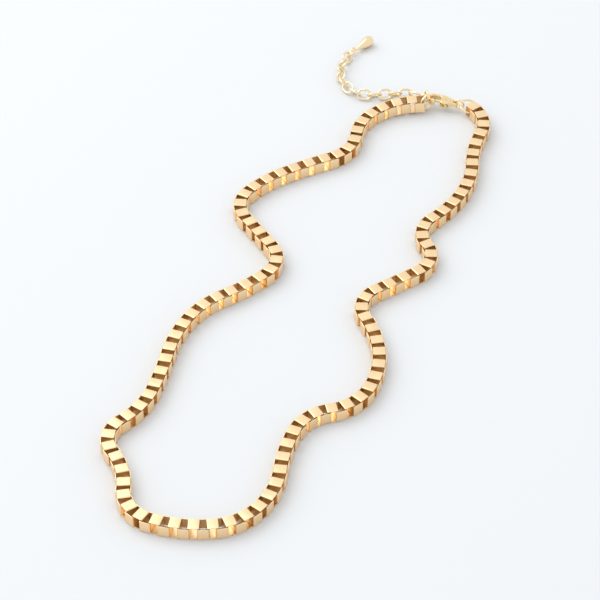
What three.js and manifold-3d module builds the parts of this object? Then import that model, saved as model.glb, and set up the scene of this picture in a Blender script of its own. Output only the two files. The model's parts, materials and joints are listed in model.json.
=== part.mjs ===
// A box-chain necklace lying fastened on a table: box links, lobster clasp, rings, extender and drop.
// Millimetres, +Z up. The table is z = 0 and the necklace's front is towards -Y.
import * as THREE from 'three';
import { mergeVertices } from 'three/addons/utils/BufferGeometryUtils.js';
import Module from 'manifold-3d';

const wasm = await Module();
wasm.setup();

// ---- Box link: a strip bent into a square loop, its hole across the chain ----
const linkLength = 3.0; // outside, along the chain
const section = 3.9; // outside, across the chain, the way the loop is tall
const stripWidth = 3.2; // the other way across the chain
const stripThickness = 0.25;
const linkPlay = 0.12; // slack between two end walls in a drawn-out stretch
const hingePlay = 0.45; // slack at a joint that keeps its full swing

// ---- Rings at the chain's two ends ----
const ringWire = 0.7;
const ringPlay = 0.15; // between a ring's bore and the corners of the strip it holds
const ringSeat = 1.0; // from a ring's centre to the end wall inside it
const ringRightTilt = 14; // degrees, the right ring's far side is up
const ringRightCatch = 46; // degrees round the right ring, from the chain to the clasp ring
const ringLeftTurn = 44; // degrees, the left ring's turn from the end link's own line
const ringLeftCatch = 80; // degrees round the left ring, from the clasp up to the extender

// ---- Lobster clasp ----
const claspThickness = 1.9;
const claspHeight = 3.6; // across the clasp, over its widest place
const hookOpening = 1.7; // clear width inside the hook
const hookDepth = 2.9; // clear length inside the hook
const hookArm = 0.85; // width of the hook's arm
const noseTip = 0.95; // from the seat to where the nose meets the lever
const barrelLength = 3.2; // from the hook's opening to the neck
const eyeRadius = 1.05;
const eyeBore = 0.5; // radius
const claspRingWire = 0.6;
const claspRingBore = 2.4; // diameter
const leverThickness = 0.75;
const leverWidth = 0.7;
const rivetRadius = 0.3;
const springWire = 0.2;
const workingGap = 0.1; // between the clasp's moving pieces
const touchGap = 0.3; // between pieces that only rest on each other

// ---- Extender: oval wire links, a jump ring and a drop ----
const ovalLength = 4.5; // outside
const ovalWidth = 3.4; // outside
const ovalWire = 0.65;
const ovalPlay = 0.15;
const dropRingWire = 0.6;
const dropRingBore = 2.0; // diameter
const dropLength = 8.0; // from the eye's centre to the end
const dropRadius = 1.65;
const dropEyeWire = 0.5;
const dropEyeBore = 1.2; // diameter

// ---- How the necklace lies ----
// The front stretch, and each stretch after it out to the clasp, turns by so many degrees in all.
const frontPlace = [-31.74, -97.93]; // middle of the front stretch
const frontHeading = 172; // degrees, along the front stretch towards the left arm
const frontTurn = -31;
const frontLinks = 8;
const stretchLinks = 6;
const rightTurns = [-45, -33, 16, 56, -52, -29, -23, 83, 0, -86, 78, -21, -25, 20, -61];
const leftTurns = [-70, 34, -83, 33, 7, -19, -30, 13, 79, 0, -74, -19, -6, 61, -47, -40];
// Heading of the extender's first link, then each link's turn from the last one.
const extenderHeading = 100;
const extenderTurns = [26, 28, 20, 12, 0, -2, -12, -30, -18, -14, -18, -8, -14, -4];
const extenderSlopes = [45, 30, 4]; // degrees down, on its way from the ring to the table
const extenderRolls = [90, 0, 64, -24]; // degrees about their own length, for the first links
const restingRolls = [50, -40]; // degrees, for the links on the table, by turns
const dropHeading = 46;
const closingSwing = 20; // degrees, the most that either arm swings to meet the clasp
const closingStep = 0.25; // degrees

const GOLD_SATIN = new THREE.MeshStandardMaterial({ color: 0xe3c294, roughness: 0.38, metalness: 1 });
const GOLD_BRIGHT = new THREE.MeshStandardMaterial({ color: 0xe2bd74, roughness: 0.18, metalness: 1 });
const SPRING_STEEL = new THREE.MeshStandardMaterial({ color: 0xb9b7b2, roughness: 0.3, metalness: 1 });

const rad = THREE.MathUtils.degToRad;
const model = new THREE.Group();

function add(name, geometry, material, matrix) {
  const mesh = new THREE.Mesh(geometry, material);
  mesh.name = name;
  matrix.decompose(mesh.position, mesh.quaternion, mesh.scale);
  model.add(mesh);
  return mesh;
}

// ---- Solids ----
function solid(geometry) {
  const bare = geometry.index ? geometry.clone() : geometry;
  bare.deleteAttribute('normal');
  bare.deleteAttribute('uv');
  const merged = mergeVertices(bare, 1e-4);
  return new wasm.Manifold(new wasm.Mesh({
    numProp: 3,
    vertProperties: new Float32Array(merged.attributes.position.array),
    triVerts: new Uint32Array(merged.index.array),
  }));
}

function geometryOf(body) {
  const mesh = body.getMesh();
  const geometry = new THREE.BufferGeometry();
  geometry.setAttribute('position', new THREE.BufferAttribute(mesh.vertProperties, 3));
  geometry.setIndex(new THREE.BufferAttribute(mesh.triVerts, 1));
  geometry.computeVertexNormals();
  return geometry;
}

function block(x, y, z, matrix = new THREE.Matrix4()) {
  return solid(new THREE.BoxGeometry(x, y, z).applyMatrix4(matrix));
}

function rod(radius, length, sides = 12) {
  return solid(new THREE.CylinderGeometry(radius, radius, length, sides).rotateX(Math.PI / 2));
}

// A ring of round wire about Z, drawn out along X by the given amount to make it oval.
function wireRing(boreRadius, wire, drawn = 0, around = 16, sides = 6) {
  const geometry = new THREE.TorusGeometry(boreRadius + wire / 2, wire / 2, sides, around);
  geometry.rotateZ(Math.PI / around);
  const places = geometry.attributes.position;
  for (let i = 0; i < places.count; i += 1) {
    places.setX(i, places.getX(i) + (Math.sign(places.getX(i)) * drawn) / 2);
  }
  return geometry;
}

function plate(outline, thickness) {
  const geometry = new THREE.ExtrudeGeometry(outline, { depth: thickness, bevelEnabled: false, curveSegments: 6 });
  return solid(geometry.translate(0, 0, -thickness / 2));
}

// ---- Places along the chain ----
// The walls of two links meet at the strip's corners in a bend, which takes up length.
const wallToWall = linkLength - 2 * stripThickness;

function step(bend, play) {
  return wallToWall - Math.max(play, play / 2 + (stripWidth / 2) * Math.abs(Math.sin(bend)));
}

function onwards(link, bend, play) {
  const heading = link.heading + bend;
  const half = step(bend, play) / 2;
  const x = link.x + half * (Math.cos(link.heading) + Math.cos(heading));
  const y = link.y + half * (Math.sin(link.heading) + Math.sin(heading));
  return { x, y, z: link.z, heading, rise: 0 };
}

// Stretches of links from the front outwards. "way" is 1 towards the left arm and -1 towards the right.
function arm(first, turns, way, swing) {
  const stretches = [];
  let link = first;
  turns.forEach((turn, n) => {
    const links = [];
    for (let i = 0; i < stretchLinks; i += 1) {
      const bend = way * rad(turn / stretchLinks) + (n === 0 ? swing / stretchLinks : 0);
      link = onwards(link, bend, i === 0 ? hingePlay : linkPlay);
      links.push(link);
    }
    stretches.push(links);
  });
  return stretches;
}

function frontStretch() {
  const bend = rad(frontTurn / frontLinks);
  const links = [];
  const half = step(bend, linkPlay) / 2;
  for (const way of [-1, 1]) {
    const heading = rad(frontHeading) + (way * bend) / 2;
    const x = frontPlace[0] + way * half * Math.cos(heading);
    const y = frontPlace[1] + way * half * Math.sin(heading);
    // each half is walked outwards, so the right half's headings are turned about
    let link = { x, y, z: section / 2, heading: heading + (way < 0 ? Math.PI : 0), rise: 0 };
    const side = [link];
    for (let i = 1; i < frontLinks / 2; i += 1) {
      link = onwards(link, way * bend, linkPlay);
      side.push(link);
    }
    links.push(side);
  }
  return { right: links[0], left: links[1] };
}

function frameOf(link) {
  const turn = new THREE.Euler(0, -link.rise, link.heading, 'ZYX');
  return new THREE.Matrix4().makeRotationFromEuler(turn).setPosition(link.x, link.y, link.z);
}

// The hinge of a stretch lies midway between its first link and the link before it.
function hingeOf(before, link) {
  const heading = (before.heading + link.heading) / 2;
  return { x: (before.x + link.x) / 2, y: (before.y + link.y) / 2, z: before.z, heading, rise: 0 };
}

// Turns a stretch up about its hinge, until its last link is at the given height.
function lift(links, before, height) {
  const hinge = hingeOf(before, links[0]);
  const last = links[links.length - 1];
  const reach = Math.hypot(last.x - hinge.x, last.y - hinge.y);
  const rise = Math.asin((height - hinge.z) / reach);
  const up = frameOf({ ...hinge, rise }).multiply(frameOf(hinge).invert());
  // the first link's end is behind the hinge, and it stays above the table
  const behind = linkLength / 2 - Math.hypot(links[0].x - hinge.x, links[0].y - hinge.y);
  return links.map((link) => {
    const place = new THREE.Vector3(link.x, link.y, link.z).applyMatrix4(up);
    return { x: place.x, y: place.y, z: place.z + behind * Math.sin(rise), heading: link.heading, rise };
  });
}

// ---- Rings: their size follows the strip that they hold ----
const ringBore = Math.hypot(stripWidth / 2 + ringPlay, ringSeat);
const ringRadius = ringBore + ringWire / 2; // to the middle of the wire
const ringReach = linkLength / 2 - stripThickness + ringSeat; // from the end link's centre

function lay(swing) {
  const front = frontStretch();
  const right = arm(front.right[front.right.length - 1], rightTurns, -1, swing);
  const left = arm(front.left[front.left.length - 1], leftTurns, 1, -swing);
  // the left ring stands on the table, which lifts the chain's end
  const before = left[left.length - 2][stretchLinks - 1];
  left[left.length - 1] = lift(left[left.length - 1], before, ringRadius + ringWire / 2);
  const rightEnd = frameOf(right[right.length - 1][stretchLinks - 1]);
  const leftEnd = frameOf(left[left.length - 1][stretchLinks - 1]);
  // each ring's own frame: X out from the chain, Z along its axis
  const wallPlace = ringReach - ringSeat;
  const ringRight = rightEnd.clone()
    .multiply(new THREE.Matrix4().makeTranslation(wallPlace, 0, 0))
    .multiply(new THREE.Matrix4().makeRotationY(-rad(ringRightTilt)))
    .multiply(new THREE.Matrix4().makeTranslation(ringSeat, 0, 0));
  const ringLeft = leftEnd.clone()
    .multiply(new THREE.Matrix4().makeTranslation(wallPlace, 0, 0))
    .multiply(new THREE.Matrix4().makeRotationZ(rad(ringLeftTurn)))
    .multiply(new THREE.Matrix4().makeTranslation(ringSeat, 0, 0))
    .multiply(new THREE.Matrix4().makeRotationX(Math.PI / 2));
  const hookPlace = new THREE.Vector3(ringRadius, 0, 0).applyMatrix4(ringLeft);
  const angle = rad(ringRightCatch);
  const catchPlace = new THREE.Vector3(Math.cos(angle), Math.sin(angle), 0)
    .multiplyScalar(ringRadius).applyMatrix4(ringRight);
  return { front, right, left, ringRight, ringLeft, hookPlace, catchPlace };
}

// ---- Clasp: its hook seat is its origin, and its eye lies along +X ----
const claspRingRadius = (claspRingBore + claspRingWire) / 2;
const seatToBack = ringWire / 2 + workingGap; // from the seat to the inside of the hook's nose
const eyePlace = hookDepth - seatToBack + barrelLength + eyeRadius;
const rimPlace = eyePlace + (eyeRadius + eyeBore) / 2;
const ringSpace = (eyeRadius - eyeBore) / 2 + ringWire / 2 + touchGap; // rim to the right ring's wire
const claspReach = rimPlace + ringSpace;

// The two arms swing about the front until the clasp just spans from ring to ring.
function closed() {
  const miss = (swing) => {
    const { hookPlace, catchPlace } = lay(swing);
    return hookPlace.distanceTo(catchPlace) - claspReach;
  };
  const start = Math.sign(miss(0));
  let near = 0;
  let far = 0;
  for (let swing = closingStep; swing <= closingSwing && far === 0; swing += closingStep) {
    for (const way of [1, -1]) {
      if (far === 0 && Math.sign(miss(way * rad(swing))) !== start) {
        near = way * rad(swing - closingStep);
        far = way * rad(swing);
      }
    }
  }
  for (let i = 0; i < 40; i += 1) {
    const middle = (near + far) / 2;
    if (Math.sign(miss(middle)) === start) {
      near = middle;
    } else {
      far = middle;
    }
  }
  return lay((near + far) / 2);
}
const necklace = closed();

// ---- Chain: links run alternately with their hole level and upright ----
function boxLink(upright) {
  const outside = new THREE.Matrix4().makeRotationX(upright ? Math.PI / 2 : 0);
  const loop = block(linkLength, stripWidth, section, outside);
  const hole = block(wallToWall, stripWidth + 1, section - 2 * stripThickness, outside);
  return loop.subtract(hole);
}
const levelLink = boxLink(false);
const uprightLink = boxLink(true);

function moved(body, matrix) {
  return body.transform(matrix.elements);
}

// A short bar that keeps two neighbouring end walls together inside one stretch.
function wallBar(a, b) {
  const half = frameOf(hingeOf(a, b));
  half.setPosition((a.x + b.x) / 2, (a.y + b.y) / 2, (a.z + b.z) / 2);
  const apart = wallToWall - Math.hypot(b.x - a.x, b.y - a.y, b.z - a.z);
  return block(apart + stripThickness, stripWidth / 4, stripWidth / 4, half);
}

function stretch(name, links, uprightFirst, origin) {
  const home = frameOf(origin);
  const inverse = home.clone().invert();
  let body = null;
  links.forEach((link, i) => {
    const upright = (i % 2 === 0) === uprightFirst;
    const piece = moved(upright ? uprightLink : levelLink, inverse.clone().multiply(frameOf(link)));
    body = body ? body.add(piece) : piece;
    if (i > 0) {
      body = body.add(moved(wallBar(links[i - 1], link), inverse));
    }
  });
  add(name, geometryOf(body), GOLD_SATIN, home);
}

function number(n) {
  return String(n).padStart(2, '0');
}

const frontLine = [...necklace.front.right.map((link) => ({ ...link, heading: link.heading - Math.PI })).reverse(),
  ...necklace.front.left];
const frontMiddle = { x: frontPlace[0], y: frontPlace[1], z: section / 2, heading: rad(frontHeading), rise: 0 };
stretch('front_chain', frontLine, false, frontMiddle);
for (const side of ['right', 'left']) {
  let before = necklace.front[side][frontLinks / 2 - 1];
  necklace[side].forEach((links, n) => {
    // seen from the front, the right arm starts with an upright link and the left arm with a level one
    stretch(`${side}_chain_${number(n + 1)}`, links, side === 'right', hingeOf(before, links[0]));
    before = links[stretchLinks - 1];
  });
}

// ---- Rings ----
function shifted(frame, x, y = 0, z = 0) {
  return frame.clone().multiply(new THREE.Matrix4().makeTranslation(x, y, z));
}

// Every ring hangs from its own origin, so its mesh starts at the piece that carries it.
const endRing = wireRing(ringBore, ringWire).translate(ringSeat, 0, 0);
add('ring_right', endRing, GOLD_BRIGHT, shifted(necklace.ringRight, -ringSeat));
add('ring_left', endRing, GOLD_BRIGHT, shifted(necklace.ringLeft, -ringSeat));

// ---- Clasp ----
const along = necklace.catchPlace.clone().sub(necklace.hookPlace).normalize();
const sideways = new THREE.Vector3(0, 0, 1).cross(along).normalize();
const upwards = along.clone().cross(sideways);
const clasp = new THREE.Matrix4().makeBasis(along, sideways, upwards).setPosition(necklace.hookPlace);

const openingEnd = hookDepth - seatToBack;
const neckPlace = openingEnd + barrelLength;
const pivotPlace = [openingEnd + barrelLength * 0.45, -hookOpening / 2 + leverWidth / 2];

function claspOutline() {
  const outline = new THREE.Shape();
  const back = -seatToBack - hookArm;
  const top = hookOpening / 2 + hookArm;
  const fat = claspHeight - top;
  outline.moveTo(eyePlace, eyeRadius);
  outline.absarc(eyePlace, 0, eyeRadius, Math.PI / 2, -Math.PI / 2, true);
  outline.lineTo(neckPlace - barrelLength * 0.2, -fat);
  outline.lineTo(openingEnd + barrelLength * 0.15, -fat);
  outline.lineTo(openingEnd, -hookOpening / 2);
  outline.lineTo(openingEnd, hookOpening / 2);
  outline.lineTo(-seatToBack + hookOpening / 3, hookOpening / 2);
  outline.lineTo(-seatToBack, hookOpening / 5);
  outline.lineTo(-seatToBack, -hookOpening / 2);
  outline.lineTo(noseTip - workingGap, -hookOpening / 2);
  outline.lineTo(noseTip - workingGap, -hookOpening / 2 - hookArm);
  outline.lineTo(back + hookArm, -top);
  outline.lineTo(back, -top + hookArm);
  outline.lineTo(back, hookOpening / 5);
  outline.lineTo(back + hookArm, top);
  outline.lineTo(openingEnd + barrelLength * 0.3, top);
  outline.closePath();
  const bore = new THREE.Path();
  bore.absarc(eyePlace, 0, eyeBore + workingGap, 0, 2 * Math.PI, false);
  outline.holes.push(bore);
  return outline;
}

function claspBody() {
  const eyeSide = claspThickness / 2;
  let body = plate(claspOutline(), claspThickness);
  // the eye is thinner than the barrel, so that the clasp ring passes round its rim
  for (const way of [-1, 1]) {
    const matrix = new THREE.Matrix4().makeTranslation(neckPlace + eyeRadius, 0, way * (eyeSide + claspRingWire / 2));
    body = body.subtract(block(2 * eyeRadius, 4 * eyeRadius, claspThickness / 2 + claspRingWire / 2, matrix));
  }
  // slot for the lever and its spring, open on the hook's closed side
  const slotLength = barrelLength * 0.75 + 2 * workingGap;
  const slotTop = pivotPlace[1] + leverWidth / 2 + 2 * springWire + 3 * workingGap;
  const slot = block(slotLength, claspHeight, leverThickness + 2 * workingGap, new THREE.Matrix4()
    .makeTranslation(openingEnd - workingGap + slotLength / 2, slotTop - claspHeight / 2, 0));
  const bore = moved(rod(rivetRadius + workingGap / 2, 2 * claspThickness), new THREE.Matrix4()
    .makeTranslation(pivotPlace[0], pivotPlace[1], 0));
  return body.subtract(slot).subtract(bore);
}
add('clasp_body', geometryOf(claspBody()), GOLD_BRIGHT, clasp);

// The lever's origin is its rivet. Its tip closes the hook, and its thumb tab stands out below.
function leverSolid() {
  const outline = new THREE.Shape();
  const tip = noseTip - pivotPlace[0];
  const heel = barrelLength * 0.3 - workingGap;
  outline.moveTo(tip, -leverWidth / 2);
  outline.lineTo(-barrelLength * 0.2, -leverWidth / 2);
  outline.lineTo(barrelLength * 0.02, -leverWidth * 2.4);
  outline.lineTo(heel, -leverWidth * 2.4);
  outline.lineTo(heel, leverWidth / 2);
  outline.lineTo(tip, leverWidth / 2);
  outline.closePath();
  return plate(outline, leverThickness).subtract(rod(rivetRadius + workingGap / 2, 2 * leverThickness));
}
const pivot = shifted(clasp, pivotPlace[0], pivotPlace[1]);
add('clasp_lever', geometryOf(leverSolid()), GOLD_BRIGHT, pivot);
add('clasp_rivet', new THREE.CylinderGeometry(rivetRadius, rivetRadius, claspThickness, 12).rotateX(Math.PI / 2),
  GOLD_BRIGHT, pivot);

// A leaf spring between the lever's back and the roof of the slot.
const springShape = new THREE.Shape();
const springEnd = barrelLength * 0.22;
const springFoot = leverWidth / 2 + workingGap;
springShape.moveTo(-springEnd, springFoot);
springShape.lineTo(springEnd, springFoot + springWire);
springShape.lineTo(springEnd, springFoot + 2 * springWire);
springShape.lineTo(-springEnd, springFoot + springWire);
springShape.closePath();
add('clasp_spring', geometryOf(plate(springShape, leverThickness)), SPRING_STEEL, pivot);

// The clasp ring stands upright through the eye and the right ring.
const claspRing = wireRing(claspRingBore / 2, claspRingWire);
const ringShift = (ringSpace - (ringWire - (eyeRadius - eyeBore)) / 2) / 2;
add('clasp_ring', claspRing.rotateX(Math.PI / 2).translate(ringShift, 0, 0), GOLD_BRIGHT, shifted(clasp, rimPlace));

// ---- Extender ----
const ovalReach = (ovalLength - ovalWire) / 2; // from an oval link's centre to the middle of its end wire
const ovalPitch = 2 * ovalReach - ovalWire - ovalPlay;
const oval = (bore) => wireRing(bore, ovalWire, ovalLength - ovalWidth, 12);

function direction(heading, slope) {
  return new THREE.Vector3(Math.cos(heading) * Math.cos(slope), Math.sin(heading) * Math.cos(slope), -Math.sin(slope));
}

function frameAlong(place, heading, slope, roll) {
  const turn = new THREE.Matrix4().makeRotationFromEuler(new THREE.Euler(roll, slope, heading, 'ZYX'));
  return turn.setPosition(place);
}

// Neighbouring links lean opposite ways, and the first stands on edge to hang from the ring.
function ovalRoll(n) {
  return rad(extenderRolls[n] ?? restingRolls[n % 2]);
}

const catchAngle = rad(ringLeftCatch);
const ringTop = new THREE.Vector3(Math.cos(catchAngle), Math.sin(catchAngle), 0)
  .multiplyScalar(ringRadius).applyMatrix4(necklace.ringLeft);
let heading = rad(extenderHeading);
let slope = rad(extenderSlopes[0]);
let hinge = ringTop;
for (let n = 0; n <= extenderTurns.length; n += 1) {
  if (n > 0) {
    heading += rad(extenderTurns[n - 1]);
    slope = rad(extenderSlopes[n] ?? 0);
  }
  const own = ovalReach - ovalWire / 2 - (n === 0 ? ringWire / 2 + ovalPlay / 2 : ovalPlay / 2);
  const toCentre = n === 0 ? own : ovalPitch / 2;
  const link = oval((ovalWidth - 2 * ovalWire) / 2).translate(toCentre, 0, 0);
  add(`extender_link_${number(n + 1)}`, link, GOLD_BRIGHT, frameAlong(hinge, heading, slope, ovalRoll(n)));
  hinge = hinge.clone().add(direction(heading, slope).multiplyScalar(toCentre + ovalPitch / 2));
}

// ---- Drop: a jump ring, then a lathe-turned drop that lies on its side ----
const dropRingRadius = (dropRingBore + dropRingWire) / 2;
heading = (heading + rad(dropHeading)) / 2;
const dropRingCentre = dropRingRadius - (dropRingWire + ovalPlay) / 2;
add('drop_loop', wireRing(dropRingBore / 2, dropRingWire, 0, 14).translate(dropRingCentre, 0, 0), GOLD_BRIGHT,
  frameAlong(hinge, heading, 0, rad(restingRolls[1])));
hinge = hinge.clone().add(direction(heading, 0)
  .multiplyScalar(dropRingCentre + dropRingRadius - (dropRingWire + dropEyeWire) / 2 - workingGap));

function dropSolid() {
  const eyeOuter = dropEyeBore / 2 + dropEyeWire;
  const neck = 0.35;
  const outline = [new THREE.Vector2(0, dropEyeBore / 2 + dropEyeWire * 0.4)];
  for (const [share, width] of [[0, neck], [0.25, 0.42], [0.5, 0.72], [0.68, 0.95], [0.82, 1], [0.92, 0.78]]) {
    const along01 = eyeOuter * 0.8 + (dropLength - eyeOuter * 0.8) * share;
    outline.push(new THREE.Vector2(share === 0 ? neck : dropRadius * width, along01));
  }
  outline.push(new THREE.Vector2(0, dropLength));
  const bulb = solid(new THREE.LatheGeometry(outline, 12).rotateZ(-Math.PI / 2));
  return solid(wireRing(dropEyeBore / 2, dropEyeWire, 0, 12)).add(bulb);
}
const dropSag = Math.asin((hinge.z - dropRadius) / dropLength);
const dropCentre = dropEyeBore / 2 + dropEyeWire / 2;
add('drop', geometryOf(dropSolid()).translate(dropCentre, 0, 0), GOLD_BRIGHT,
  frameAlong(hinge, rad(dropHeading), dropSag, rad(restingRolls[0])));

export default model;
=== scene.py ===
# %% [markdown]
# # A box-chain necklace in Blender
# The necklace lies fastened on a table. Its chain is 194 folded-strip links, its ends are joined by a lobster
# clasp, and an extender of oval links runs out to a drop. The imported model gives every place. Here each plain
# CAD piece is replaced by a detailed one of the same size, on the same body.

# %% Load the frame
import json
import math

import bmesh
import bpy
import numpy as np
from mathutils import Matrix, Vector


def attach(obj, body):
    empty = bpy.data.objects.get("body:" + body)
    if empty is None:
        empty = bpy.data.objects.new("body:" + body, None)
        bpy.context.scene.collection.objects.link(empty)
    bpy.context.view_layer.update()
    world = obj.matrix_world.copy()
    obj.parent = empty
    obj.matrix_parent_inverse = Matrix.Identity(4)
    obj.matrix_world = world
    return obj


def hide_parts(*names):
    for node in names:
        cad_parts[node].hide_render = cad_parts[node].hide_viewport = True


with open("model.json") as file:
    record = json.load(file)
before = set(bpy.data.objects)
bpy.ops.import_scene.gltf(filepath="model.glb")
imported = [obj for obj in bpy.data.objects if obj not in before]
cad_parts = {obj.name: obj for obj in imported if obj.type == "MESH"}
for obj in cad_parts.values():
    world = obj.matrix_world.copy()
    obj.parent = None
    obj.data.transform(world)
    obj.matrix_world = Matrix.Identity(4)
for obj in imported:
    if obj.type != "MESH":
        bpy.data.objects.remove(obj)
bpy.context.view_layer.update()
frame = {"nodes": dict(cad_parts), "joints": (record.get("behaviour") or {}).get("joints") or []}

# %% [markdown]
# Jewellery is drawn in millimetres, and Blender works in metres. Every size below is in millimetres, and a
# piece is brought to metres by one scale when it is placed.

# %% Sizes of the real pieces, in millimetres
MM = 0.001

LINK_LENGTH = 3.0  # outside, along the chain
LINK_TALL = 3.9  # outside, the way that the loop of strip is tall
STRIP_WIDTH = 3.2
STRIP_THICKNESS = 0.25
LINK_CORNER = 0.32  # outer radius of the folds
STRIP_EDGE = 0.06  # the strip's broken edge

RING_WIRE = 0.7
CLASP_RING_WIRE = 0.6
DROP_RING_WIRE = 0.6
END_PLAY = 0.15  # between a strip's edge and the jump ring round it
HALF_REACH = 1.0  # half of the length of link end that a jump ring holds
RING_SPLIT = 0.05  # the closed cut of a jump ring

OVAL_WIRE = 0.65
OVAL_WIDTH = 3.4  # outside
OVAL_LENGTH = 4.5  # outside
SOLDER_HALF = 0.32  # half of the soldered joint's length
SOLDER_FULLER = 1.07  # how much fuller the joint is than the wire

CLASP_THICKNESS = 1.9
HOOK_OPENING = 1.7
HOOK_ARM = 0.85
HOOK_SEAT = 0.45  # from the hook's origin to the inside of its nose
OPENING_END = 2.45  # where the barrel starts
BARREL_LENGTH = 3.2
BARREL_DEPTH = 1.9  # from the clasp's middle line to its belly
EYE_RADIUS = 1.05
EYE_BORE = 0.6
EYE_THICKNESS = 1.25
NOSE_TIP = 0.85
LEVER_WIDTH = 0.7
LEVER_THICKNESS = 0.75
RIVET_RADIUS = 0.3
CLASP_EDGE = 0.34  # how far the casting's edges are rounded
SLOT_GAP = 0.1  # between the lever and its slot

DROP_RADIUS = 1.65
DROP_LENGTH = 8.0  # from the eye's centre to the end
DROP_EYE_BORE = 1.2
DROP_EYE_WIRE = 0.5
DROP_NECK = 0.34  # radius where the drop leaves its eye

# %% [markdown]
# ## Finishes
# Brushing leaves fine parallel lines, handling leaves a soft uneven haze, and a ring that has been closed with
# pliers picks up hairline scratches. Several metals here share these effects, so each effect is a node group
# with its own inputs, built once. A group gives only values; the shader stays in the material.

# %% A helper for node groups and materials
def node(tree, kind, **settings):
    made = tree.nodes.new(kind)
    for name, value in settings.items():
        setattr(made, name, value)
    return made


def feed(tree, made, values):
    """Sets a node's inputs by name: a socket is linked, and anything else is a constant."""
    for name, value in values.items():
        if isinstance(value, bpy.types.NodeSocket):
            tree.links.new(value, made.inputs[name])
        else:
            made.inputs[name].default_value = value
    return made


def effect_group(name, inputs, outputs):
    tree = bpy.data.node_groups.new(name, "ShaderNodeTree")
    for title, kind in inputs:
        tree.interface.new_socket(title, in_out="INPUT", socket_type=kind)
    for title in outputs:
        tree.interface.new_socket(title, in_out="OUTPUT", socket_type="NodeSocketFloat")
    return tree, node(tree, "NodeGroupInput"), node(tree, "NodeGroupOutput")


def use_effect(tree, name, values):
    made = node(tree, "ShaderNodeGroup")
    made.node_tree = bpy.data.node_groups[name]
    return feed(tree, made, values)

# %% Brushed lines: noise that is drawn out one way
def build_brushing():
    ins = [("Vector", "NodeSocketVector"), ("Lines", "NodeSocketFloat"), ("Runs", "NodeSocketFloat")]
    tree, source, result = effect_group("brushing", ins, ["Height", "Streak"])
    scale = node(tree, "ShaderNodeCombineXYZ")
    feed(tree, scale, {"X": source.outputs["Lines"], "Y": source.outputs["Runs"], "Z": source.outputs["Runs"]})
    drawn = node(tree, "ShaderNodeVectorMath", operation="MULTIPLY")
    tree.links.new(source.outputs["Vector"], drawn.inputs[0])
    tree.links.new(scale.outputs[0], drawn.inputs[1])
    fine = feed(tree, node(tree, "ShaderNodeTexNoise"), {"Vector": drawn.outputs[0], "Scale": 1.0, "Detail": 4.0})
    broad = feed(tree, node(tree, "ShaderNodeTexNoise"), {"Vector": drawn.outputs[0], "Scale": 0.22, "Detail": 2.0})
    tree.links.new(fine.outputs["Fac"], result.inputs["Height"])
    tree.links.new(broad.outputs["Fac"], result.inputs["Streak"])


build_brushing()

# %% Handling: a soft haze of two sizes, from 0 to 1
def build_handling():
    ins = [("Vector", "NodeSocketVector"), ("Patches", "NodeSocketFloat")]
    tree, source, result = effect_group("handling", ins, ["Haze", "Tone"])
    feed_in = {"Vector": source.outputs["Vector"], "Scale": source.outputs["Patches"], "Detail": 5.0}
    haze = feed(tree, node(tree, "ShaderNodeTexNoise"), feed_in)
    spread = feed(tree, node(tree, "ShaderNodeMapRange"), {
        "Value": haze.outputs["Fac"], "From Min": 0.35, "From Max": 0.68})
    slower = node(tree, "ShaderNodeMath", operation="MULTIPLY")
    tree.links.new(source.outputs["Patches"], slower.inputs[0])
    slower.inputs[1].default_value = 0.3
    tone = feed(tree, node(tree, "ShaderNodeTexNoise"), {
        "Vector": source.outputs["Vector"], "Scale": slower.outputs[0], "Detail": 2.0})
    tree.links.new(spread.outputs[0], result.inputs["Haze"])
    tree.links.new(tone.outputs["Fac"], result.inputs["Tone"])


build_handling()

# %% Hairline scratches: thin ridges where a stretched noise crosses its middle
def build_hairlines():
    ins = [("Vector", "NodeSocketVector"), ("Spacing", "NodeSocketFloat")]
    tree, source, result = effect_group("hairlines", ins, ["Scratch"])
    last = None
    for turn in (0.5, 2.1):
        turned = feed(tree, node(tree, "ShaderNodeMapping"), {
            "Vector": source.outputs["Vector"], "Rotation": (turn, turn * 0.7, turn), "Scale": (1.0, 9.0, 1.0)})
        lines = feed(tree, node(tree, "ShaderNodeTexNoise"), {
            "Vector": turned.outputs[0], "Scale": source.outputs["Spacing"], "Detail": 1.0})
        off = node(tree, "ShaderNodeMath", operation="SUBTRACT")
        tree.links.new(lines.outputs["Fac"], off.inputs[0])
        off.inputs[1].default_value = 0.5
        apart = node(tree, "ShaderNodeMath", operation="ABSOLUTE")
        tree.links.new(off.outputs[0], apart.inputs[0])
        thin = feed(tree, node(tree, "ShaderNodeMapRange"), {
            "Value": apart.outputs[0], "From Min": 0.0, "From Max": 0.012, "To Min": 1.0, "To Max": 0.0})
        if last:
            most = node(tree, "ShaderNodeMath", operation="MAXIMUM")
            tree.links.new(last, most.inputs[0])
            tree.links.new(thin.outputs[0], most.inputs[1])
            last = most.outputs[0]
        else:
            last = thin.outputs[0]
    tree.links.new(last, result.inputs["Scratch"])


build_hairlines()
print("effects", sorted(group.name for group in bpy.data.node_groups))

# %% [markdown]
# A metal gets its colour only from what it reflects, so gold needs a pale warm Base Color and a white room. The
# deep orange between the links isn't painted: light bounces from wall to wall there, and each bounce takes out
# more blue. Roughness is what tells satin strip from polished wire.

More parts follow.
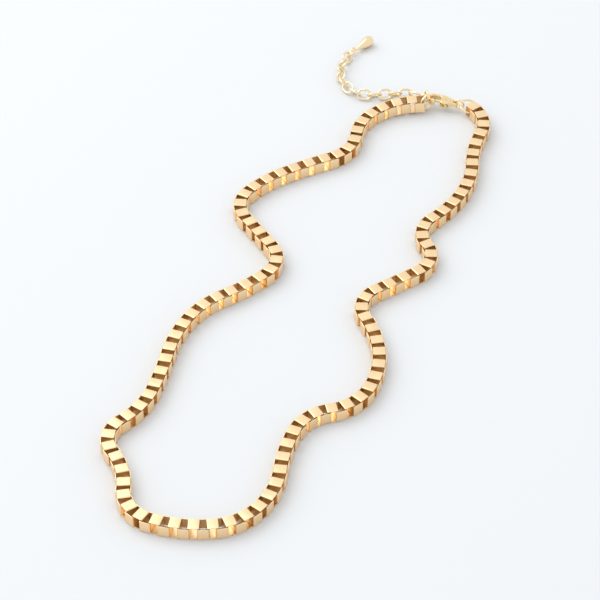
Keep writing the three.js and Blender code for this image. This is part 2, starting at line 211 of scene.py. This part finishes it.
# %% Materials
def metal(name, pale, deep, rough, uses):
    """A metal whose tone, roughness and surface height come from the shared effects.

    rough is the lowest and highest roughness. uses says how strongly each effect works.
    """
    material = bpy.data.materials.new(name)
    material.use_nodes = True
    tree = material.node_tree
    tree.nodes.clear()
    shader = node(tree, "ShaderNodeBsdfPrincipled")
    output = node(tree, "ShaderNodeOutputMaterial")
    tree.links.new(shader.outputs[0], output.inputs["Surface"])
    shader.inputs["Metallic"].default_value = 1.0
    shader.inputs["IOR"].default_value = 1.45
    shader.inputs["Anisotropic"].default_value = uses.get("anisotropic", 0.0)
    place = node(tree, "ShaderNodeTexCoord").outputs["Object"]
    handling = use_effect(tree, "handling", {"Vector": place, "Patches": uses["patches"]})
    tint = feed(tree, node(tree, "ShaderNodeMix", data_type="RGBA"), {"Factor": handling.outputs["Tone"]})
    tint.inputs["A"].default_value = (*pale, 1.0)
    tint.inputs["B"].default_value = (*deep, 1.0)
    colour = tint.outputs["Result"]
    tree.links.new(colour, shader.inputs["Base Color"])
    value = handling.outputs["Haze"]
    height = None
    if "brushing" in uses:
        along = node(tree, "ShaderNodeUVMap", uv_map="strip").outputs[0]
        lines, runs = uses["brushing"]
        brushed = use_effect(tree, "brushing", {"Vector": along, "Lines": lines, "Runs": runs})
        blend = feed(tree, node(tree, "ShaderNodeMix"), {
            "Factor": 0.6, "A": value, "B": brushed.outputs["Streak"]})
        value = blend.outputs["Result"]
        height = brushed.outputs["Height"]
    if "hairlines" in uses:
        scratches = use_effect(tree, "hairlines", {"Vector": place, "Spacing": uses["hairlines"]})
        height = scratches.outputs["Scratch"]
    roughness = feed(tree, node(tree, "ShaderNodeMapRange"), {
        "Value": value, "To Min": rough[0], "To Max": rough[1]})
    tree.links.new(roughness.outputs[0], shader.inputs["Roughness"])
    bump = feed(tree, node(tree, "ShaderNodeBump"), {
        "Height": height, "Strength": uses["bump"], "Distance": uses["depth"] * MM})
    tree.links.new(bump.outputs[0], shader.inputs["Normal"])
    return material


SATIN_GOLD = metal("brushed_strip_gold", (1.0, 0.75, 0.45), (0.99, 0.705, 0.395), (0.24, 0.38), {
    "patches": 350.0, "brushing": (14.0, 0.5), "bump": 0.35, "depth": 0.02, "anisotropic": 0.3})
WIRE_GOLD = metal("polished_wire_gold", (0.98, 0.82, 0.55), (0.96, 0.78, 0.50), (0.07, 0.17), {
    "patches": 500.0, "hairlines": 900.0, "bump": 0.12, "depth": 0.01})
CAST_GOLD = metal("polished_cast_gold", (0.97, 0.75, 0.42), (0.94, 0.70, 0.36), (0.10, 0.24), {
    "patches": 420.0, "hairlines": 650.0, "bump": 0.15, "depth": 0.015})
DROP_GOLD = metal("burnished_drop_gold", (0.98, 0.78, 0.50), (0.95, 0.74, 0.45), (0.12, 0.26), {
    "patches": 300.0, "hairlines": 500.0, "bump": 0.12, "depth": 0.015})
SPRING_STEEL = metal("blued_spring_steel", (0.62, 0.61, 0.59), (0.50, 0.50, 0.52), (0.22, 0.4), {
    "patches": 900.0, "hairlines": 900.0, "bump": 0.2, "depth": 0.01})
print("materials", [material.name for material in bpy.data.materials])

# %% [markdown]
# ## Making a piece
# Every piece is made around its own origin in millimetres, then one matrix brings it to its place in metres. The
# place goes into the mesh, so that the object itself stays at the origin, as the CAD nodes do.

# %% A helper that finishes a piece
def finish_piece(bm, name, material, body, cad_nodes, sharp=40.0):
    bmesh.ops.recalc_face_normals(bm, faces=bm.faces)
    mesh = bpy.data.meshes.new(name)
    bm.to_mesh(mesh)
    bm.free()
    mesh.materials.append(material)
    for face in mesh.polygons:
        face.use_smooth = True
    mesh.set_sharp_from_angle(angle=math.radians(sharp))
    piece = bpy.data.objects.new(name, mesh)
    bpy.context.scene.collection.objects.link(piece)
    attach(piece, body)
    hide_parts(*cad_nodes)
    # flat faces keep their own shading, and only the rounds between them blend
    weighted = piece.modifiers.new("flat_faces", "WEIGHTED_NORMAL")
    weighted.keep_sharp = True
    return piece


def axes_matrix(place, x, y, z):
    """A matrix from a piece's own millimetres to its place in metres."""
    turn = Matrix((x, y, z)).transposed().to_4x4()
    return Matrix.Translation(place) @ turn @ Matrix.Diagonal((MM, MM, MM, 1.0))


joints = {joint["child"]: joint for joint in frame["joints"]}


def hinge_place(body):
    return Vector(joints[body]["pos_m"])

# %% [markdown]
# ## The box link
# A box link is a strip of metal folded into a square loop. The loop's outline is a square with its corners
# rounded by a vertex bevel. An inset gives the strip its thickness, an extrusion gives it its width, and a small
# bevel breaks the strip's edges. The link is repeated 194 times, so it keeps to under a hundred faces, and smooth
# shading rounds the folds.

# %% One link, around its own centre
def box_link():
    """The link's length is along X, its loop is tall along Z, and the strip's width is across Y."""
    bm = bmesh.new()
    bmesh.ops.create_grid(bm, x_segments=1, y_segments=1, size=0.5)
    bmesh.ops.scale(bm, vec=(LINK_LENGTH, LINK_TALL, 1.0), verts=bm.verts)
    bmesh.ops.bevel(bm, geom=bm.verts[:], offset=LINK_CORNER, offset_type="OFFSET",
                    affect="VERTICES", segments=2, profile=0.5, material=-1)
    bmesh.ops.inset_region(bm, faces=bm.faces[:], thickness=STRIP_THICKNESS,
                            use_even_offset=True, use_boundary=True)
    middle = min(bm.faces, key=lambda face: face.calc_center_median().length)
    bmesh.ops.delete(bm, geom=[middle], context="FACES_ONLY")
    grown = bmesh.ops.extrude_face_region(bm, geom=bm.faces[:])
    top = [item for item in grown["geom"] if isinstance(item, bmesh.types.BMVert)]
    bmesh.ops.translate(bm, vec=(0, 0, STRIP_WIDTH), verts=top)
    bmesh.ops.translate(bm, vec=(0, 0, -STRIP_WIDTH / 2), verts=bm.verts)
    bmesh.ops.rotate(bm, cent=(0, 0, 0), matrix=Matrix.Rotation(math.pi / 2, 3, "X"), verts=bm.verts)
    bmesh.ops.recalc_face_normals(bm, faces=bm.faces)
    return bm


link_bm = box_link()
print("link", len(link_bm.faces), "faces", [round(max(v.co[i] for v in link_bm.verts), 3) for i in range(3)])

# %% [markdown]
# Brushed lines run across the strip, from edge to edge, on every wall of the loop. Object coordinates can't say
# which way that is on a link that lies at its own angle, so each link carries a UV map: U is the way round the
# loop and V is the way across the strip, both in millimetres.

# %% The strip's own map
def map_strip(bm):
    layer = bm.loops.layers.uv.new("strip")
    size = (LINK_LENGTH + LINK_TALL) / 4
    for face in bm.faces:
        centre = face.calc_center_median()
        middle = math.atan2(centre.z, centre.x)
        for loop in face.loops:
            turn = math.atan2(loop.vert.co.z, loop.vert.co.x) - middle
            turn = (turn + math.pi) % (2 * math.pi) - math.pi
            loop[layer].uv = ((middle + turn) * size, loop.vert.co.y)


def break_edges(bm, width, segments, angle):
    """Bevels every edge whose two faces meet at more than the angle, in degrees."""
    sharp = [edge for edge in bm.edges
             if edge.is_manifold and edge.calc_face_angle() > math.radians(angle)]
    bmesh.ops.bevel(bm, geom=sharp, offset=width, offset_type="OFFSET", affect="EDGES",
                    segments=segments, profile=0.5, material=-1)


break_edges(link_bm, STRIP_EDGE, 1, 80)
map_strip(link_bm)
link_mesh = bpy.data.meshes.new("link_template")
link_bm.to_mesh(link_mesh)
link_bm.free()
print("link with broken edges", len(link_mesh.polygons), "faces")

# %% [markdown]
# ## Where the links lie
# The CAD chain already holds every link, so the lay is read from it. The underside of a link is a flat patch
# with one edge as long as the link. That edge gives the link's direction, and the patch's normal its up. A
# patch with four corners is a level link's plate, and one with eight is an upright link's rim.

# %% Read the links of one CAD stretch
def patches_below(bm):
    waiting = {face for face in bm.faces if face.normal.z < -0.9}
    while waiting:
        patch = [waiting.pop()]
        for face in patch:
            near = {other for edge in face.edges for other in edge.link_faces}
            near = {other for other in near & waiting if other.normal.dot(face.normal) > 0.999}
            waiting -= near
            patch.extend(near)
        yield patch


def links_in(cad_node):
    bm = bmesh.new()
    bm.from_mesh(frame["nodes"][cad_node].data)
    bmesh.ops.remove_doubles(bm, verts=bm.verts, dist=0.001 * MM)
    bm.normal_update()
    places = []
    for patch in patches_below(bm):
        corners = {vert for face in patch for vert in face.verts}
        edges = {edge for face in patch for edge in face.edges}
        lengthwise = [edge for edge in edges if abs(edge.calc_length() - LINK_LENGTH * MM) < 0.01 * MM]
        if len(corners) not in (4, 8) or not lengthwise:
            continue
        up = -patch[0].normal.normalized()
        ends = lengthwise[0].verts
        along = (ends[1].co - ends[0].co).normalized()
        side = up.cross(along)
        centre = sum((vert.co for vert in corners), Vector()) / len(corners)
        if len(corners) == 4:
            places.append(axes_matrix(centre + up * LINK_TALL / 2 * MM, along, side, up))
        else:
            places.append(axes_matrix(centre + up * STRIP_WIDTH / 2 * MM, along, up, -side))
    bm.free()
    return places


# %% Make each stretch of chain
def chain_stretch(cad_node):
    bm = bmesh.new()
    for number, place in enumerate(links_in(cad_node)):
        before = len(bm.verts)
        bm.from_mesh(link_mesh)
        bm.verts.ensure_lookup_table()
        new = bm.verts[before:]
        bmesh.ops.transform(bm, matrix=place, verts=new)
        layer = bm.loops.layers.uv["strip"]
        shift = Vector((0.0, 17.0 * number))
        for face in {face for vert in new for face in vert.link_faces}:
            for loop in face.loops:
                loop[layer].uv += shift
    piece = finish_piece(bm, cad_node + "_links", SATIN_GOLD, cad_node, [cad_node], sharp=50.0)
    return piece


chain_nodes = sorted(name for name in frame["nodes"] if "chain" in name)
for name in chain_nodes:
    chain_stretch(name)
print("stretches", len(chain_nodes))

# %% [markdown]
# ## Round wire
# A jump ring is round wire bent into a circle, and its two cut ends meet with a hairline between them. A spin of
# a small circle makes it, stopped just short of a full turn, and the ends are capped and eased. An extender link
# starts as a whole ring and is pulled out to an oval, with its soldered joint left a little fuller.

# %% Rings and oval links, about their own Z
def jump_ring(bore, wire, steps=56, sides=16):
    middle = (bore + wire) / 2
    bm = bmesh.new()
    bmesh.ops.create_circle(bm, cap_ends=True, segments=sides, radius=wire / 2)
    bmesh.ops.rotate(bm, cent=(0, 0, 0), matrix=Matrix.Rotation(math.pi / 2, 3, "X"), verts=bm.verts)
    bmesh.ops.translate(bm, vec=(middle, 0, 0), verts=bm.verts)
    turn = 2 * math.pi - RING_SPLIT / middle
    bmesh.ops.spin(bm, geom=bm.faces[:], cent=(0, 0, 0), axis=(0, 0, 1), angle=turn, steps=steps, use_merge=False)
    bmesh.ops.recalc_face_normals(bm, faces=bm.faces)
    rims = [edge for edge in bm.edges if edge.is_manifold and edge.calc_face_angle() > math.radians(70)]
    bmesh.ops.bevel(bm, geom=rims, offset=0.04, offset_type="OFFSET", affect="EDGES",
                    segments=2, profile=0.5, material=-1)
    return bm


def oval_link(steps=36, sides=12):
    bore = OVAL_WIDTH - 2 * OVAL_WIRE
    middle = (bore + OVAL_WIRE) / 2
    bm = bmesh.new()
    bmesh.ops.create_circle(bm, cap_ends=False, segments=sides, radius=OVAL_WIRE / 2)
    bmesh.ops.rotate(bm, cent=(0, 0, 0), matrix=Matrix.Rotation(math.pi / 2, 3, "X"), verts=bm.verts)
    bmesh.ops.translate(bm, vec=(middle, 0, 0), verts=bm.verts)
    bmesh.ops.rotate(bm, cent=(0, 0, 0), matrix=Matrix.Rotation(math.pi / steps, 3, "Z"), verts=bm.verts)
    bmesh.ops.spin(bm, geom=bm.verts[:] + bm.edges[:], cent=(0, 0, 0), axis=(0, 0, 1),
                   angle=2 * math.pi, steps=steps, use_merge=True)
    bmesh.ops.remove_doubles(bm, verts=bm.verts, dist=0.001)
    for way in (-1, 1):
        half = [vert for vert in bm.verts if vert.co.x * way > 0]
        bmesh.ops.translate(bm, vec=(way * (OVAL_LENGTH - OVAL_WIDTH) / 2, 0, 0), verts=half)
    # the soldered joint: a short fuller band in the middle of one straight side
    for place in (-SOLDER_HALF, -SOLDER_HALF / 2, SOLDER_HALF / 2, SOLDER_HALF):
        bmesh.ops.bisect_plane(bm, geom=bm.verts[:] + bm.edges[:] + bm.faces[:], dist=0.0001,
                               plane_co=(place, 0, 0), plane_no=(1, 0, 0))
    band = [vert for vert in bm.verts if abs(vert.co.x) < 0.6 * SOLDER_HALF and vert.co.y > 0]
    centre = Matrix.Translation((0, -middle, 0))
    bmesh.ops.scale(bm, vec=(1.0, SOLDER_FULLER, SOLDER_FULLER), space=centre, verts=band)
    return bm


# %% [markdown]
# A ring's place is read from its CAD node. The points of a ring spread least along its axis, and the points of
# an oval link spread most along its length, so the three main directions of the points are the ring's own axes.

# %% Find a ring's axes
def main_axes(cad_node):
    mesh = frame["nodes"][cad_node].data
    points = np.array(sorted({tuple(round(x, 7) for x in vert.co) for vert in mesh.vertices}))
    centre = points.mean(axis=0)
    spread = np.linalg.svd(points - centre, full_matrices=False)[2]
    longest, shortest = Vector(spread[0]), Vector(spread[2])
    return Vector(centre), longest.normalized(), shortest.normalized()


def place_ring(bm, cad_node, turn=0.0):
    """Turns the ring about its own axis, so that its joint comes where it is wanted, and puts it in place."""
    centre, longest, shortest = main_axes(cad_node)
    if shortest.z < 0:
        shortest = -shortest
    from_hinge = centre - hinge_place(cad_node)
    if longest.dot(from_hinge) < 0:
        longest = -longest
    side = shortest.cross(longest)
    spun = Matrix.Rotation(math.radians(turn), 4, "Z")
    bmesh.ops.transform(bm, matrix=axes_matrix(centre, longest, side, shortest) @ spun, verts=bm.verts)


# %% Make the rings and the extender
CHAIN_RING_BORE = 2 * math.hypot(STRIP_WIDTH / 2 + END_PLAY, HALF_REACH)
JUMP_RINGS = {  # bore, wire, and where its joint lies round the ring, in degrees
    "ring_right": (CHAIN_RING_BORE, RING_WIRE, 75.0),
    "ring_left": (CHAIN_RING_BORE, RING_WIRE, 120.0),
    "clasp_ring": (2.4, CLASP_RING_WIRE, 90.0),
    "drop_loop": (2.0, DROP_RING_WIRE, 100.0),
}
for name, (bore, wire, joint_turn) in JUMP_RINGS.items():
    ring = jump_ring(bore, wire)
    place_ring(ring, name, joint_turn)
    finish_piece(ring, name + "_wire", WIRE_GOLD, name, [name], sharp=60.0)

ovals = sorted(name for name in frame["nodes"] if name.startswith("extender_link"))
for number, name in enumerate(ovals):
    link = oval_link()
    place_ring(link, name, 180.0 * (number % 2))
    finish_piece(link, name + "_wire", WIRE_GOLD, name, [name])
print("rings", len(JUMP_RINGS), "oval links", len(ovals))

# %% [markdown]
# ## The lobster clasp
# The body is cast: a barrel, an eye at one end and a hook at the other, with soft edges. Its outline is one flat
# face drawn with a few points and arcs, extruded to the body's thickness, and every edge is bevelled round. The
# lever's slot and the rivet's bore are then cut, as they are on the real casting.

# %% Outlines from points and arcs
def arc(x, y, radius, start, end, steps=10):
    angles = [math.radians(start + (end - start) * i / steps) for i in range(steps + 1)]
    return [(x + radius * math.cos(a), y + radius * math.sin(a)) for a in angles]


def slab(outline, thickness, edge, segments=3):
    """A closed outline made into a slab with rounded edges, its thickness about Z = 0."""
    bm = bmesh.new()
    corners = [bm.verts.new((x, y, -thickness / 2)) for x, y in outline]
    bm.faces.new(corners)
    grown = bmesh.ops.extrude_face_region(bm, geom=bm.faces[:])
    top = [item for item in grown["geom"] if isinstance(item, bmesh.types.BMVert)]
    bmesh.ops.translate(bm, vec=(0, 0, thickness), verts=top)
    bmesh.ops.recalc_face_normals(bm, faces=bm.faces)
    break_edges(bm, edge, segments, 60)
    return bm


def clasp_outline():
    centre = HOOK_OPENING / 2 - HOOK_SEAT
    inner = HOOK_OPENING / 2
    outer = inner + HOOK_ARM
    eye = OPENING_END + BARREL_LENGTH + EYE_RADIUS
    nose = arc(NOSE_TIP - 0.2, -(inner + outer) / 2, HOOK_ARM / 2, -90, 90, 8)
    around_inside = arc(centre, 0, inner, -90, -270, 16)
    throat = arc(OPENING_END - 0.35, inner - 0.35, 0.35, 90, 0, 4)
    belly = arc(OPENING_END + 0.75, -BARREL_DEPTH + 0.75, 0.75, 180, 270, 5)
    hip = arc(OPENING_END + BARREL_LENGTH - 1.2, -BARREL_DEPTH + 0.9, 0.9, 270, 320, 4)
    eye_round = arc(eye, 0, EYE_RADIUS, -125, 125, 16)
    shoulder = arc(OPENING_END + 0.9, outer - 2.2, 2.2, 50, 90, 6)
    around_outside = arc(centre, 0, outer, 90, 270, 20)
    return (nose + around_inside + throat + belly + hip + eye_round + shoulder + around_outside)[:-1]

# %% Cut a slab with a second solid
def cut(bm, cutter_bm):
    """Cuts one bmesh from another with a Boolean modifier, and returns the result as a new bmesh."""
    objects = []
    for name, source in (("blank", bm), ("cutter", cutter_bm)):
        bmesh.ops.recalc_face_normals(source, faces=source.faces)
        mesh = bpy.data.meshes.new(name)
        source.to_mesh(mesh)
        source.free()
        objects.append(bpy.data.objects.new(name, mesh))
        bpy.context.scene.collection.objects.link(objects[-1])
    blank, cutter = objects
    boolean = blank.modifiers.new("cut", "BOOLEAN")
    boolean.operation = "DIFFERENCE"
    boolean.solver = "EXACT"
    boolean.object = cutter
    result = bmesh.new()
    result.from_object(blank, bpy.context.evaluated_depsgraph_get())
    for item in objects:
        bpy.data.objects.remove(item)
    return result


def box_bm(low, high):
    bm = bmesh.new()
    bmesh.ops.create_cube(bm, size=1.0)
    bmesh.ops.scale(bm, vec=[b - a for a, b in zip(low, high)], verts=bm.verts)
    bmesh.ops.translate(bm, vec=[(a + b) / 2 for a, b in zip(low, high)], verts=bm.verts)
    return bm


def rod_bm(x, y, radius, length, sides=32):
    bm = bmesh.new()
    bmesh.ops.create_cone(bm, cap_ends=True, segments=sides, radius1=radius, radius2=radius, depth=length)
    bmesh.ops.translate(bm, vec=(x, y, 0), verts=bm.verts)
    return bm


# %% The clasp's own axes: X from the hook's seat to the eye, Z up
seat = hinge_place("clasp")
clasp_x = (hinge_place("clasp_ring") - seat).normalized()
clasp_y = Vector((0, 0, 1)).cross(clasp_x).normalized()
clasp_place = axes_matrix(seat, clasp_x, clasp_y, clasp_x.cross(clasp_y))
pivot = clasp_place.inverted() @ hinge_place("clasp_lever")
print("lever pivot in the clasp", [round(x, 2) for x in pivot])

# %% Body
eye_x = OPENING_END + BARREL_LENGTH + EYE_RADIUS
body = slab(clasp_outline(), CLASP_THICKNESS, CLASP_EDGE, 4)
slot_end = OPENING_END + 0.75 * BARREL_LENGTH + SLOT_GAP
slot_top = pivot.y + LEVER_WIDTH / 2 + 0.7
half_slot = LEVER_THICKNESS / 2 + SLOT_GAP
body = cut(body, box_bm((OPENING_END - 2 * SLOT_GAP, -3, -half_slot), (slot_end, slot_top, half_slot)))
body = cut(body, rod_bm(eye_x, 0, EYE_BORE, 4))
body = cut(body, rod_bm(pivot.x, pivot.y, RIVET_RADIUS + 0.03, 4))
for low in (EYE_THICKNESS / 2, -EYE_THICKNESS / 2 - 1):
    body = cut(body, box_bm((eye_x - EYE_RADIUS - 0.15, -2, low), (eye_x + 2, 2, low + 1)))
bmesh.ops.transform(body, matrix=clasp_place, verts=body.verts)
finish_piece(body, "clasp_casting", CAST_GOLD, "clasp", ["clasp_body"], sharp=35.0)

# %% Lever, rivet and spring
def lever_outline():
    half = LEVER_WIDTH / 2
    tip = NOSE_TIP + 0.1 - pivot.x
    heel = 0.3 * BARREL_LENGTH - SLOT_GAP
    tab = -LEVER_WIDTH * 2.4
    points = arc(tip + half, 0, half, 90, 270, 6) + [(-0.22 * BARREL_LENGTH, -half)]
    points += arc(0.5, tab + 0.45, 0.45, 200, 300, 5)
    points += [(heel, tab + 0.1), (heel, half - 0.1), (heel - 0.1, half)]
    return points


lever = slab(lever_outline(), LEVER_THICKNESS, 0.1, 3)
lever = cut(lever, rod_bm(0, 0, RIVET_RADIUS + 0.05, 3))
pivot_place = clasp_place @ Matrix.Translation(pivot)
bmesh.ops.transform(lever, matrix=pivot_place, verts=lever.verts)
finish_piece(lever, "clasp_trigger", CAST_GOLD, "clasp_lever", ["clasp_lever"], sharp=35.0)

rivet = rod_bm(0, 0, RIVET_RADIUS, CLASP_THICKNESS + 0.04)
break_edges(rivet, 0.09, 3, 60)
bmesh.ops.transform(rivet, matrix=pivot_place, verts=rivet.verts)
finish_piece(rivet, "clasp_pin", CAST_GOLD, "clasp", ["clasp_rivet"])
frame["nodes"]["clasp_spring"].data.materials.clear()
frame["nodes"]["clasp_spring"].data.materials.append(SPRING_STEEL)

# %% [markdown]
# ## The drop
# The drop is a solid of revolution: narrow at its neck, swelling along a quarter of a sine, and closed by a round
# end. Only its outline is drawn, and a spin about its own length makes the solid. Its eye is a small ring.

# %% Drop
def drop_outline(steps=14):
    start = DROP_EYE_BORE / 2 + 0.35 * DROP_EYE_WIRE
    widest = start + 0.78 * (DROP_LENGTH - start)
    points = [(start, 0.0), (start, DROP_NECK * 0.8)]
    for i in range(steps + 1):
        t = i / steps
        points.append((start + 0.15 + (widest - start - 0.15) * t,
                       DROP_NECK + (DROP_RADIUS - DROP_NECK) * math.sin(math.pi / 2 * t ** 1.25)))
    for i in range(1, steps + 1):
        a = math.pi / 2 * i / steps
        points.append((widest + (DROP_LENGTH - widest) * math.sin(a), DROP_RADIUS * math.cos(a)))
    return points


def drop_bulb():
    bm = bmesh.new()
    line = [bm.verts.new((x, radius, 0)) for x, radius in drop_outline()]
    edges = [bm.edges.new(pair) for pair in zip(line, line[1:])]
    bmesh.ops.spin(bm, geom=line + edges, cent=(0, 0, 0), axis=(1, 0, 0), angle=2 * math.pi,
                   steps=48, use_merge=True)
    bmesh.ops.remove_doubles(bm, verts=bm.verts, dist=0.002)
    return bm


drop_hinge = hinge_place("drop")
centre, longest, shortest = main_axes("drop")
if longest.dot(centre - drop_hinge) < 0:
    longest = -longest
across = Vector(joints["drop"]["axis"]).normalized()
eye_shift = (DROP_EYE_BORE + DROP_EYE_WIRE) / 2
drop_place = axes_matrix(drop_hinge + longest * eye_shift * MM, longest, across, longest.cross(across))
drop = drop_bulb()
eye_ring = bmesh.new()
bmesh.ops.create_circle(eye_ring, cap_ends=False, segments=16, radius=DROP_EYE_WIRE / 2)
bmesh.ops.rotate(eye_ring, cent=(0, 0, 0), matrix=Matrix.Rotation(math.pi / 2, 3, "X"), verts=eye_ring.verts)
bmesh.ops.translate(eye_ring, vec=(eye_shift, 0, 0), verts=eye_ring.verts)
bmesh.ops.spin(eye_ring, geom=eye_ring.verts[:] + eye_ring.edges[:], cent=(0, 0, 0), axis=(0, 0, 1),
               angle=2 * math.pi, steps=40, use_merge=True)
bmesh.ops.remove_doubles(eye_ring, verts=eye_ring.verts, dist=0.001)
eye_mesh = bpy.data.meshes.new("eye_template")
eye_ring.to_mesh(eye_mesh)
eye_ring.free()
drop.from_mesh(eye_mesh)
bmesh.ops.transform(drop, matrix=drop_place, verts=drop.verts)
finish_piece(drop, "drop_bulb", DROP_GOLD, "drop", ["drop"])

# %% [markdown]
# ## Floor, light and camera
# The room is pale all round, because polished metal shows only its surroundings. One large soft light from the
# upper left gives the plates' bright ends and the faint shadows on the other side.

# %% Floor
floor_bm = bmesh.new()
bmesh.ops.create_grid(floor_bm, x_segments=1, y_segments=1, size=2.0)
floor_mesh = bpy.data.meshes.new("floor")
floor_bm.to_mesh(floor_mesh)
floor_bm.free()
floor = bpy.data.objects.new("floor", floor_mesh)
bpy.context.scene.collection.objects.link(floor)
paper = bpy.data.materials.new("paper")
paper.use_nodes = True
paper.node_tree.nodes["Principled BSDF"].inputs["Base Color"].default_value = (0.765, 0.768, 0.77, 1.0)
paper.node_tree.nodes["Principled BSDF"].inputs["Roughness"].default_value = 0.9
floor_mesh.materials.append(paper)

# %% World and lights
world = bpy.data.worlds.new("pale_room")
world.use_nodes = True
world.node_tree.nodes["Background"].inputs["Color"].default_value = (0.91, 0.955, 1.0, 1.0)
world.node_tree.nodes["Background"].inputs["Strength"].default_value = 1.0
bpy.context.scene.world = world
bpy.context.scene.view_settings.view_transform = "Standard"


def soft_light(name, place, size, power, colour):
    lamp = bpy.data.lights.new(name, "AREA")
    lamp.shape = "DISK"
    lamp.size = size
    lamp.energy = power
    lamp.color = colour
    made = bpy.data.objects.new(name, lamp)
    made.location = place
    made.rotation_euler = (-Vector(place)).to_track_quat("-Z", "Y").to_euler()
    bpy.context.scene.collection.objects.link(made)
    return made


soft_light("window", (-0.65, 0.42, 0.95), 1.3, 7.0, (1.0, 0.975, 0.94))

# %% Camera
LOOK_DOWN = 43.0  # degrees below level
AIM = Vector((-2.31, -14.1, 0.0)) * MM
AWAY = 0.673  # metres
camera_data = bpy.data.cameras.new("camera")
camera_data.lens = 150.0
camera_data.sensor_width = 36.0
camera_data.clip_start = 0.05
camera = bpy.data.objects.new("camera", camera_data)
down = math.radians(LOOK_DOWN)
camera.location = AIM + AWAY * Vector((0.0, -math.cos(down), math.sin(down)))
camera.rotation_euler = (math.pi / 2 - down, 0.0, 0.0)
bpy.context.scene.collection.objects.link(camera)
bpy.context.scene.camera = camera
